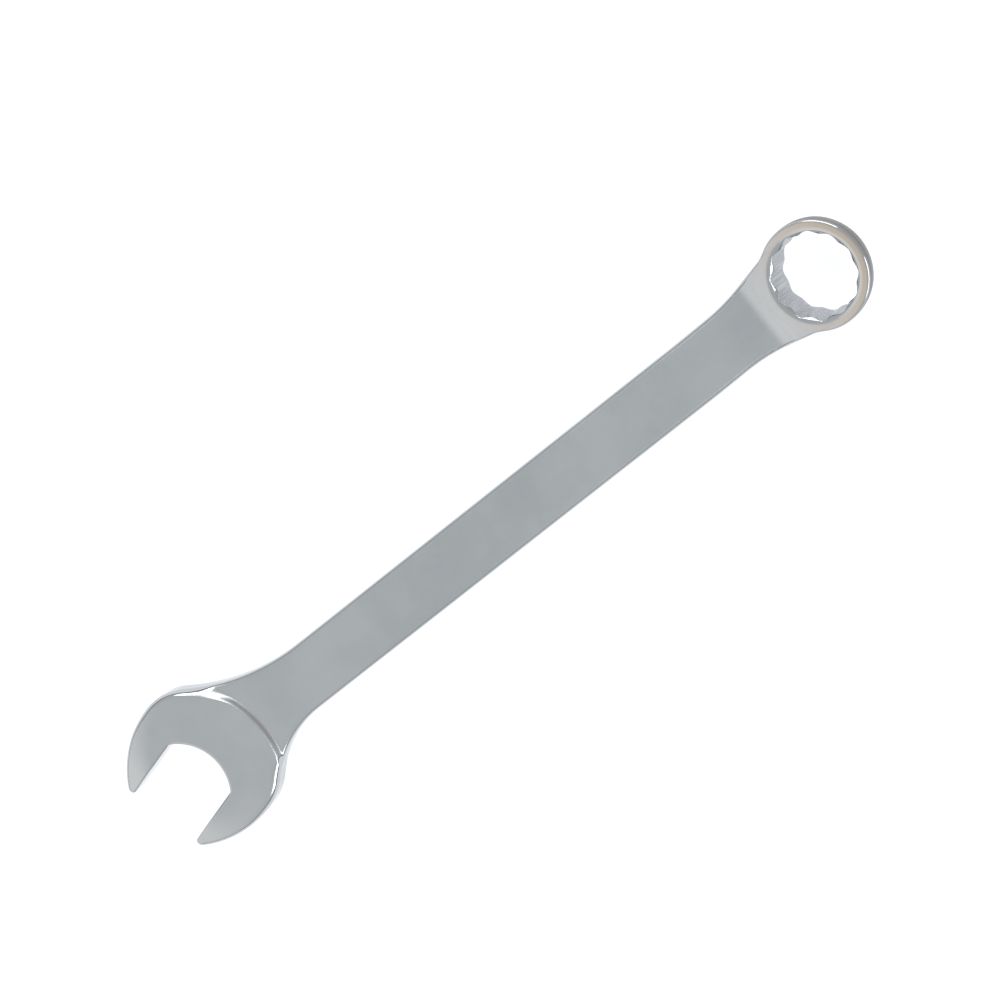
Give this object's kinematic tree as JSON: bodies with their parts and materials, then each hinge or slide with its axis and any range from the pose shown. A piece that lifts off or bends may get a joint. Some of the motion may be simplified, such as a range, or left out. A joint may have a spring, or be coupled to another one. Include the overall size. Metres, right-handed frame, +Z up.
{
  "type": "combination wrench",
  "caption": "Chrome-plated combination wrench with an angled open jaw at one end and a cranked twelve-point ring at the other, both for the same 24 mm nut.",
  "frame": {"origin": "the point on the table under the middle of the wrench's box, with the wrench lying on the underside of its open head", "axes": "+X along the shank from the open jaw to the ring, +Z up, which is the side that the ring is cranked to, and +Y to the left when looking along +X"},
  "size_m": [0.2876, 0.049, 0.0198],
  "materials": {
    "chrome_plate": "chrome plate, satin on the flat faces and polished on the edges, the outside of the ring and the jaw's sides"
  },
  "bodies": {
    "root": {"open_end": "chrome_plate", "shank": "chrome_plate", "box_end": "chrome_plate"}
  },
  "joints": []
}
